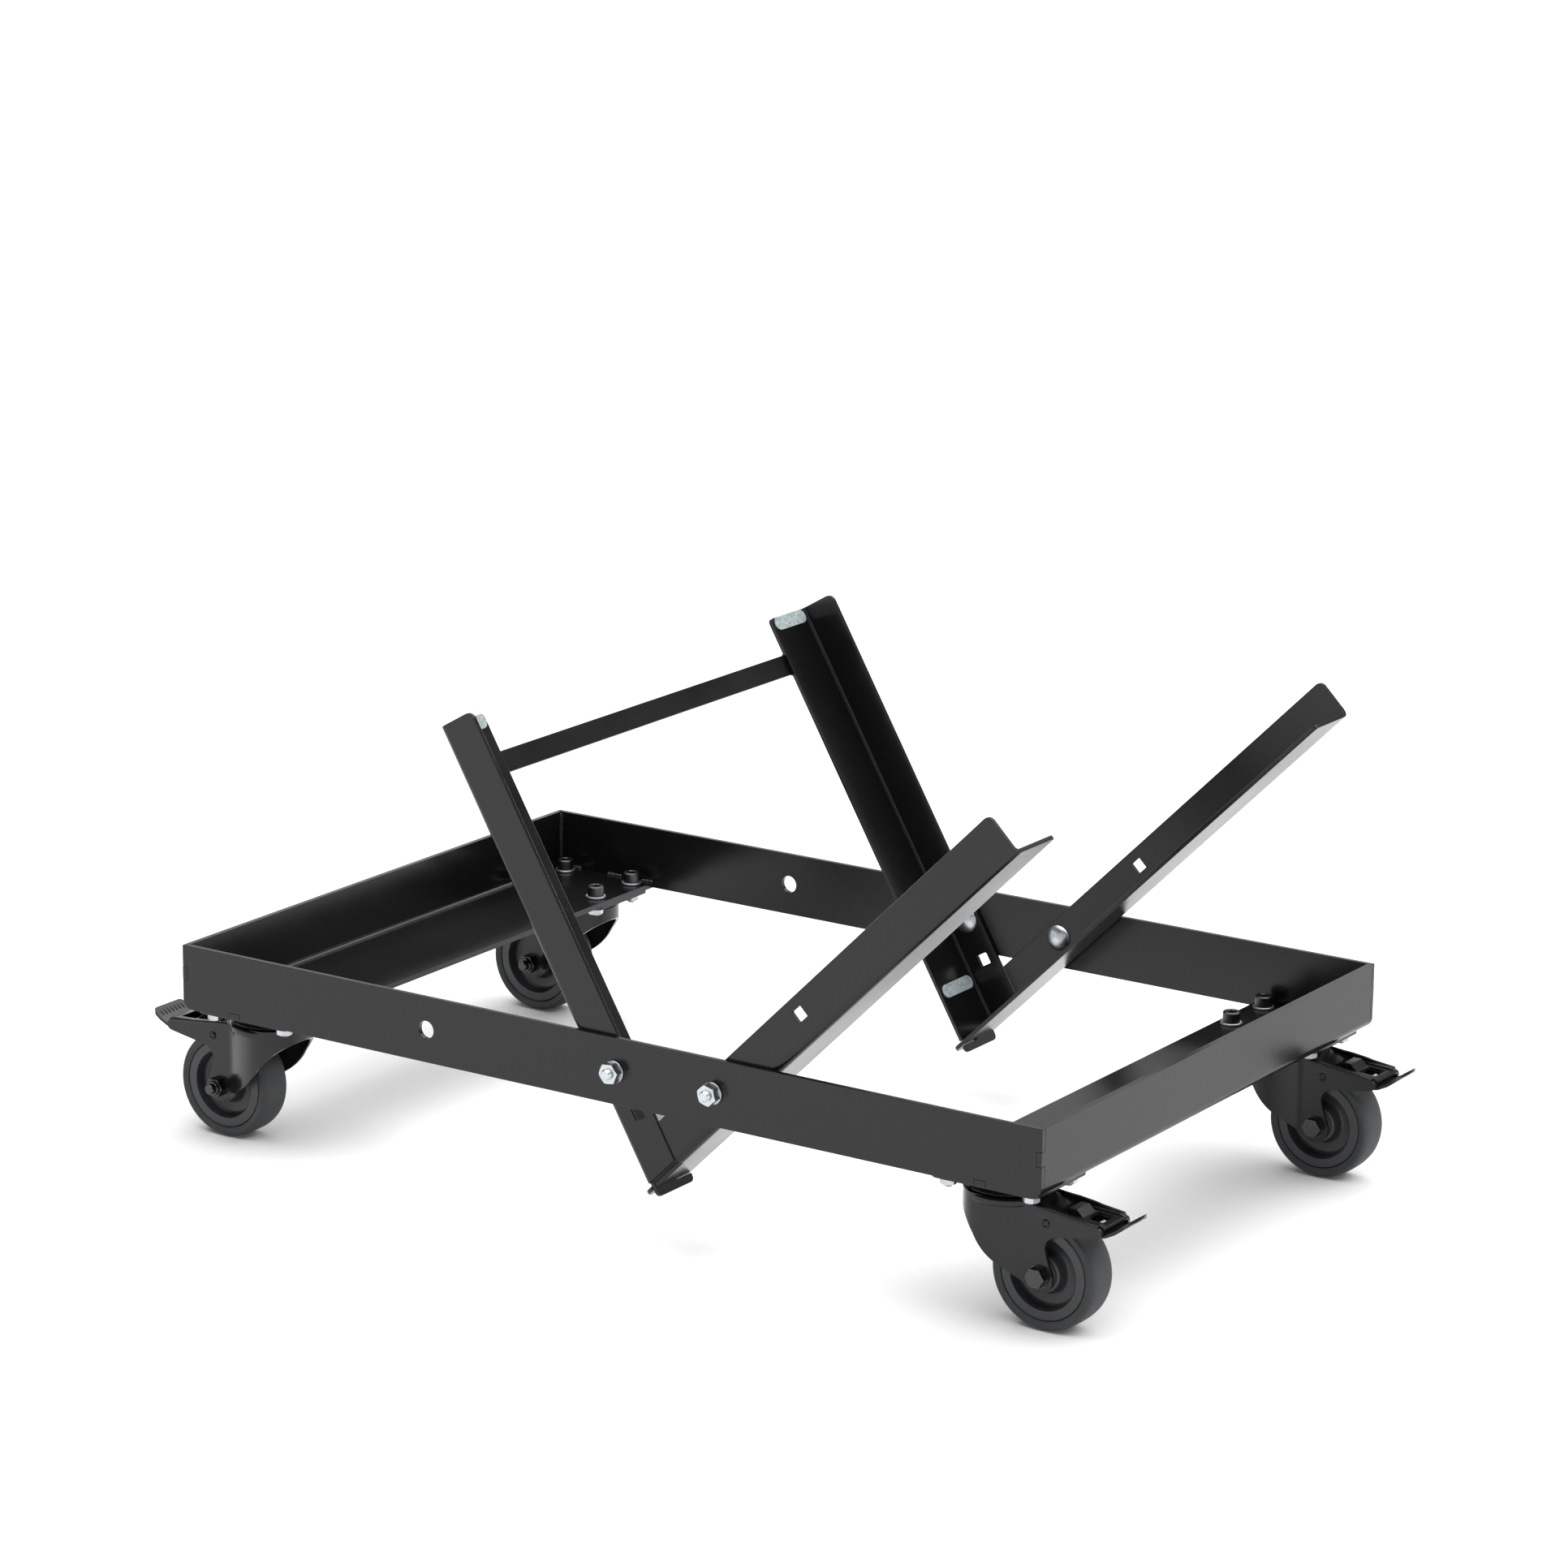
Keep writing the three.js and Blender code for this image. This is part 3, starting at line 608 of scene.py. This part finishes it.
def curve(a, b, c, steps=10):
    """Points on a quadratic curve from a to c that leans towards b."""
    points = []
    for i in range(1, steps + 1):
        t = i / steps
        points.append(tuple(
            (1 - t) ** 2 * p + 2 * t * (1 - t) * q + t * t * r for p, q, r in zip(a, b, c)
        ))
    return points


def cut(bm, other, operation):
    """Joins or cuts bm with other, and returns the result as a new bmesh."""
    bodies = []
    for shape in (bm, other):
        mesh = bpy.data.meshes.new("cut")
        shape.to_mesh(mesh)
        shape.free()
        bodies.append(bpy.data.objects.new("cut", mesh))
        bpy.context.scene.collection.objects.link(bodies[-1])
    knife = bodies[0].modifiers.new("knife", "BOOLEAN")
    knife.solver = "EXACT"
    knife.operation = operation
    knife.object = bodies[1]
    bpy.context.view_layer.update()
    solid = bodies[0].evaluated_get(bpy.context.evaluated_depsgraph_get())
    result = bmesh.new()
    result.from_mesh(solid.to_mesh())
    solid.to_mesh_clear()
    for body in bodies:
        mesh = body.data
        bpy.data.objects.remove(body)
        bpy.data.meshes.remove(mesh)
    return result


HEAD_TOP = 115.3
WHEEL_X = 44
WHEEL_Z = 50
FORK_HALF = 23
SHEET = 3
RIVET_X = 50
RIVET_Z = 97.5
ACROSS = ("Y", -60, 120)


def fork_plan(inset, rear):
    """The fork from above, out to x = rear, drawn in by an inset for its inner faces."""
    half = FORK_HALF - inset
    head = arc(0, 0, 38 - inset, 118, 242, 36)
    flare_end = (24.5 - 0.45 * inset, half + 1.8 + 0.11 * inset)
    crease = (28 - 0.2 * inset, half)
    flare = curve(head[0], (-5, half + 17.2), flare_end, 14)
    flare += curve(flare_end, crease, (32, half), 8)
    mirrored = [(x, -y) for x, y in flare]
    return [(rear, half)] + flare[::-1] + head + mirrored + [(rear, -half)]


def fork_outline():
    """The cheeks and arms from the side, as (x, z) points."""
    points = [(-39, HEAD_TOP + 1), (24, HEAD_TOP + 1), (33, 112), (56, 110.5), (70, 108.8)]
    points += curve((70, 108.8), (84, 106.4), (98, 103.4), 4)
    points += curve((98, 103.4), (103.6, 102.4), (103.6, 99))
    points += curve((103.6, 99), (103.6, 95), (98, 93.6))
    points += [(66, 88.3)]
    points += curve((66, 88.3), (50.5, 87), (49.6, 76), 14)
    points += curve((49.6, 76), (50.4, 70), (55.6, 56), 6)
    points += arc(WHEEL_X, 49.3, 13.8, 12, -130, 22)
    points += [(5.6, 59)]
    points += curve((5.6, 59), (-5, 67), (-12.6, 80), 10)
    points += curve((-12.6, 80), (-24, 95), (-39, 104), 12)
    return points


def pressed_fork():
    inner_top = HEAD_TOP - SHEET
    shell = flat_prism(fork_plan(0, 112), "Z", 28, HEAD_TOP - 28)
    shell = cut(shell, flat_prism(fork_outline(), *ACROSS), "INTERSECT")
    head = bmesh.new()
    spun(head, [
        (0, 107.4), (34, 107.4), (36.2, 107.9), (37.5, 109), (38, 110.4),
        (38, HEAD_TOP - 3.2),
        (37.7, HEAD_TOP - 1.6), (36.7, HEAD_TOP - 0.5), (35, HEAD_TOP), (0, HEAD_TOP),
    ], 72)
    shell = cut(shell, closed_up(head), "UNION")
    hollow = flat_prism(fork_plan(SHEET, 120), "Z", 20, 110)
    roof = flat_prism([
        (-60, inner_top), (20, inner_top), (26, inner_top - 0.8), (33, 108.4),
        (54.5, 103), (54.5, 106), (35, 111.3), (27, HEAD_TOP - 0.6), (22, HEAD_TOP),
        (-60, HEAD_TOP + 3),
    ], *ACROSS)
    shell = cut(shell, cut(hollow, roof, "DIFFERENCE"), "DIFFERENCE")
    cup = bmesh.new()
    spun(cup, [(0, 108.8), (34.4, 108.8), (35, 109.4), (35, inner_top - 2),
               (33, inner_top), (0, inner_top)], 72)
    front = flat_prism([(-50, -50), (29, -50), (29, 50), (-50, 50)], "Z", 80, 40)
    shell = cut(shell, cut(closed_up(cup), front, "INTERSECT"), "DIFFERENCE")
    centre = flat_prism(arc(0, 0, 8, 0, 350, 35), "Z", 100, 20)
    return cut(shell, centre, "DIFFERENCE")


fork_shape = pressed_fork()
bmesh.ops.remove_doubles(fork_shape, verts=fork_shape.verts, dist=1e-5)
bmesh.ops.dissolve_limit(
    fork_shape, angle_limit=math.radians(0.3), verts=fork_shape.verts,
    edges=fork_shape.edges,
)
soften(fork_shape, 0.3 * MM)
for side in (-1, 1):
    # The top edges of both arms are rolled over.
    lip_start = Vector((34, side * (FORK_HALF - 1.2), 111.0)) * MM
    lip_end = Vector((99.5, side * (FORK_HALF - 1.2), 103.6)) * MM
    lip = lip_end - lip_start
    lip_radius = 1.7 * MM
    bmesh.ops.create_cone(
        fork_shape, cap_ends=True, segments=16, radius1=lip_radius, radius2=lip_radius,
        depth=lip.length, matrix=Matrix.Translation((lip_start + lip_end) / 2)
        @ lip.to_track_quat("Z", "Y").to_matrix().to_4x4(),
    )
for edge in fork_shape.edges:
    if len(edge.link_faces) == 2:
        edge.smooth = edge.calc_face_angle(0) < math.radians(35)

for place_name in castors:
    bm = fork_shape.copy()
    bmesh.ops.transform(bm, matrix=swivel[place_name], verts=bm.verts)
    piece = weighted(finish_mesh(bm, f"fork_{place_name}_pressed", enamel))
    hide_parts(f"fork_{place_name}")
    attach(piece, f"swivel_{place_name}")
fork_shape.free()

# ---------------------------------------------------------------- tyres
# Moulded rubber tyres with a nearly flat tread and round shoulders, satin dark grey and
# slightly scuffed.


def rubber():
    material, shader = surface("tyre_rubber", (0.021, 0.023, 0.025), 0.6)
    tree = material.node_tree
    scuff = noise(tree, 55, 7, 0.65)
    shades = shaded(
        tree, scuff, 0.35, (0.014, 0.016, 0.018), 0.72, (0.025, 0.027, 0.029)
    )
    tree.links.new(shades, shader.inputs["Base Color"])
    emboss(tree, shader, noise(tree, 900, 3), 0.25, 0.0002)
    return material


def about_axle(place_name):
    """The wheel's own frame: Z runs along the axle, towards its nut."""
    return swivel[place_name] @ Matrix.Translation(
        (WHEEL_X * MM, 0, WHEEL_Z * MM)) @ Matrix.Rotation(math.radians(-90), 4, "X")


def both_sides(half):
    """An outline and its mirror image, from one side of the wheel round to the other."""
    return half + [(r, -h) for r, h in reversed(half)]


tyre_rubber = rubber()
tread = both_sides([
    (40.6, 13.4), (40.8, 15.4), (41.6, 16.0), (44.5, 16.9), (46.2, 17.2), (47.3, 16.7),
    (48.5, 15.2), (49.2, 13.2), (49.7, 9.5), (49.9, 5), (49.95, 1.5),
])
for place_name in castors:
    bm = bmesh.new()
    spun(bm, tread + tread[:1], 128)
    piece = placed(
        bm, about_axle(place_name), f"tyre_{place_name}_moulded", tyre_rubber,
        f"wheel_{place_name}", sharp=60,
    )
    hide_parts(f"tyre_{place_name}")

# ---------------------------------------------------------------- wheel rims
# Black moulded plastic centres: a flat outer ring, a stepped dish on both sides, a thin
# web and a round hub with a ball bearing pressed into each end.


def moulded_plastic():
    material, shader = surface("rim_plastic", (0.022, 0.023, 0.025), 0.38)
    tree = material.node_tree
    satin = stretch(tree, noise(tree, 40, 5), 0.30, 0.50)
    tree.links.new(satin, shader.inputs["Roughness"])
    emboss(tree, shader, noise(tree, 1100), 0.12, 0.0002)
    return material


rim_plastic = moulded_plastic()
dish = both_sides([
    (5.7, 16.6), (9.6, 16.6), (10.2, 18.2), (12.6, 18.5), (13.4, 18.0), (13.8, 15.4),
    (15.6, 14.9), (16.0, 14.2), (16.6, 9.0), (18.4, 5.6), (20.5, 4.6), (27.0, 4.6),
    (29.4, 5.6), (30.6, 8.0), (31.4, 14.6), (32.2, 15.6), (39.7, 15.6), (40.1, 15.3),
    (40.3, 14.6), (40.4, 13.2),
])
for place_name in castors:
    bm = bmesh.new()
    spun(bm, dish + dish[:1], 96)
    piece = placed(
        bm, about_axle(place_name), f"rim_{place_name}_moulded", rim_plastic,
        f"wheel_{place_name}", sharp=50,
    )
    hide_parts(f"rim_{place_name}")
    for side, way in (("head", -1), ("nut", 1)):
        bearing = bmesh.new()
        spun(bearing, [
            (5.2, way * 16.0), (5.2, way * 19.6), (7.2, way * 19.6), (7.5, way * 17.9),
            (9.4, way * 17.7), (9.5, way * 16.0), (5.2, way * 16.0),
        ])
        placed(
            bearing, about_axle(place_name), f"bearing_{side}_{place_name}", oxide,
            f"wheel_{place_name}",
        )

# ---------------------------------------------------------------- axles
# A dark hex-head bolt through both cheeks, with a nylon-collar locking nut.
axle_flats = 16
bolt_steel = plated("axle_steel", (0.085, 0.085, 0.088), 0.26, 0.4)
for place_name in castors:
    place = about_axle(place_name)
    bolt = bmesh.new()
    hex_body(bolt, axle_flats, -30.0, -23.6, chamfer_low=True, chamfer_high=False)
    spun(bolt, [(0, 37.2), (4.1, 37.2), (4.8, 36.4), (4.8, -24.2), (0, -24.2)], 40)
    piece = placed(
        bolt, place, f"axle_{place_name}_bolt", bolt_steel,
        f"swivel_{place_name}",
    )
    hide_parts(f"axle_{place_name}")
    washer = bmesh.new()
    spun(washer, [(5, -23.55), (10, -23.55), (10, -23.1), (5, -23.1), (5, -23.55)], 40)
    placed(
        washer, place, f"axle_washer_{place_name}", bolt_steel,
        f"swivel_{place_name}",
    )
    nut = bmesh.new()
    hex_body(nut, axle_flats, 23.2, 30.4, chamfer_low=False, chamfer_high=True)
    spun(nut, [
        (4.9, 30.5), (7.0, 30.5), (6.9, 32.4), (6.2, 33.2), (4.9, 33.2), (4.9, 30.5),
    ], 60)
    placed(
        nut, place, f"axle_nut_{place_name}", bolt_steel,
        f"swivel_{place_name}",
    )

# ---------------------------------------------------------------- brake pedals
# Pressed steel levers between the cheeks on two tubular rivets: a lipped deck with a window
# over a small zinc spring, a raised stop, and a ribbed blade that curls up behind.
deck_side = 23.25 * MM
lip_side, lip_width = 18.8, 4.2
rib_count, rib_pitch = 7, 4.8
coils = 7


def absorb(bm, other):
    """Adds another shape to bm and frees it."""
    mesh = bpy.data.meshes.new("absorbed")
    other.to_mesh(mesh)
    other.free()
    bm.from_mesh(mesh)
    bpy.data.meshes.remove(mesh)


for place_name in castors:
    body = f"pedal_{place_name}"
    lever = merged_copy(body)
    middle = swivel[place_name].translation
    for way in (-1, 1):
        bmesh.ops.bisect_plane(
            lever, geom=lever.verts[:] + lever.edges[:] + lever.faces[:],
            plane_co=(0, middle.y + way * deck_side, 0), plane_no=(0, way, 0),
            clear_outer=True,
        )
    bmesh.ops.holes_fill(lever, edges=lever.edges, sides=40)
    soften(lever, 0.35 * MM, 35)
    piece = weighted(finish_mesh(lever, body + "_coated", enamel))
    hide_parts(body)
    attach(piece, body)
    rivets = bmesh.new()
    for way in (-1, 1):
        ring = bmesh.new()
        spun(ring, [
            (0, 23.5), (1.6, 23.5), (1.9, 24.0), (2.5, 24.5), (3.2, 24.4), (3.7, 23.8),
            (3.8, 23.1), (0, 23.1),
        ], 40)
        bmesh.ops.transform(
            ring, verts=ring.verts,
            matrix=Matrix.Translation((RIVET_X * MM, 0, RIVET_Z * MM))
            @ Matrix.Rotation(math.radians(90 * way), 4, "X"),
        )
        absorb(rivets, ring)
    placed(
        rivets, swivel[place_name], f"pedal_rivets_{place_name}", enamel,
        body,
    )
    pressing = bmesh.new()
    for way in (-1, 1):
        lip = flat_prism([
            (63, 105.3), (63, 106.9), (98.5, 105.2), (102.2, 104.3), (102.6, 103.0),
            (98.5, 103.8),
        ], "Y", lip_side - lip_width if way > 0 else -lip_side, lip_width)
        soften(lip, 0.5 * MM, 10, segments=3)
        absorb(pressing, lip)
    for number in range(rib_count):
        rib_y = (number - rib_count // 2) * rib_pitch * MM
        bmesh.ops.create_uvsphere(
            pressing, u_segments=20, v_segments=10, radius=1,
            matrix=Matrix.Translation((116.6 * MM, rib_y, 105.0 * MM))
            @ Matrix.Rotation(math.radians(-36), 4, "Y")
            @ Matrix.Diagonal((3.4 * MM, 0.9 * MM, 0.75 * MM, 1)),
        )
    placed(
        pressing, swivel[place_name], f"pedal_pressing_{place_name}", enamel,
        body,
    )
    spring = bmesh.new()
    bmesh.ops.create_circle(
        spring, cap_ends=False, segments=10, radius=0.5 * MM,
        matrix=Matrix.Translation((1.7 * MM, 0, 0)) @ Matrix.Rotation(
            math.radians(90), 4, "X"),
    )
    bmesh.ops.spin(
        spring, geom=spring.verts[:] + spring.edges[:], cent=(0, 0, 0), axis=(0, 0, 1),
        dvec=(0, 0, 0.09 * MM), angle=math.tau * coils, steps=20 * coils, use_merge=False,
        use_normal_flip=False, use_duplicate=False,
    )
    bmesh.ops.holes_fill(spring, edges=spring.edges, sides=12)
    placed(
        spring, swivel[place_name] @ Matrix.Translation((89 * MM, -6.3 * MM, 98.4 * MM))
        @ Matrix.Rotation(math.radians(-90), 4, "X"),
        f"pedal_spring_{place_name}", washer_zinc, body,
    )
